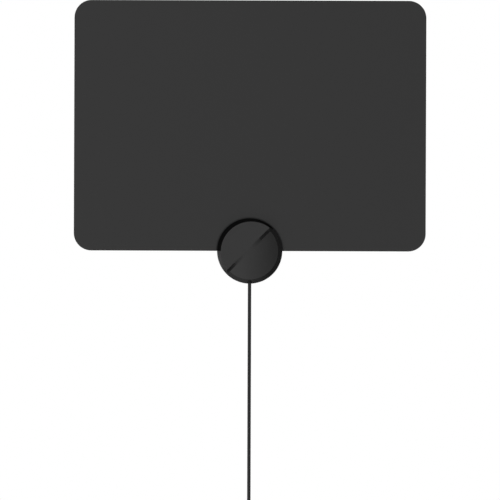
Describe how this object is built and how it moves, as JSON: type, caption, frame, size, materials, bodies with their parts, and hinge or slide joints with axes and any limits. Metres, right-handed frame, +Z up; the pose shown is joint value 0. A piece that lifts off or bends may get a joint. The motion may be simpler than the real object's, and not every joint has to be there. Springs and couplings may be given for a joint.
{
  "type": "flat indoor TV antenna",
  "caption": "Flat indoor TV antenna: a thin charcoal sheet with a round pod on its lower edge and a coaxial cable with a screw-on F plug.",
  "frame": {"origin": "centre of the pod's flat rear face, which goes against the wall", "axes": "+Z up the sheet, +X to the right as seen from the front, +Y into the wall, so the front faces -Y"},
  "size_m": [0.3352, 0.0181, 0.6156],
  "materials": {
    "film": "fine matte charcoal",
    "foil": "plain foil",
    "cover": "fine matte moulding with a polished rim",
    "screw": "black zinc",
    "board": "green solder mask",
    "rivet": "plain",
    "ferrite": "sintered, matte",
    "copper": "bare copper",
    "chip": "ceramic chip",
    "nylon": "black nylon",
    "insulator": "white polyethylene",
    "solder": "bright tin",
    "jacket": "satin PVC",
    "nickel": "nickel plated"
  },
  "bodies": {
    "antenna": {"front_film": "film", "back_film": "film", "element_left": "foil", "element_right": "foil", "front_cover": "cover", "back_cover": "cover", "cover_screws": "screw", "circuit_board": "board", "feed_rivets": "rivet", "balun_core": "ferrite", "balun_winding": "copper", "chip_parts": "chip", "strain_tie": "nylon", "cable_bush": "jacket", "cable_braid": "copper", "cable_dielectric": "insulator", "cable_conductor": "copper", "solder_joints": "solder", "cable": "jacket", "cable_coil": "jacket", "cable_tail": "jacket", "coil_tie": "nylon", "plug_boot": "jacket", "plug_body": "nickel", "plug_insulator": "insulator", "plug_pin": "copper"},
    "nut": {"coupling_nut": "nickel"}
  },
  "joints": [
    {"name": "nut_turn", "type": "hinge", "parent": "antenna", "child": "nut", "pos_m": [0.03025, -0.01235, -0.36863], "axis": [0, 0, -1], "continuous": true}
  ]
}
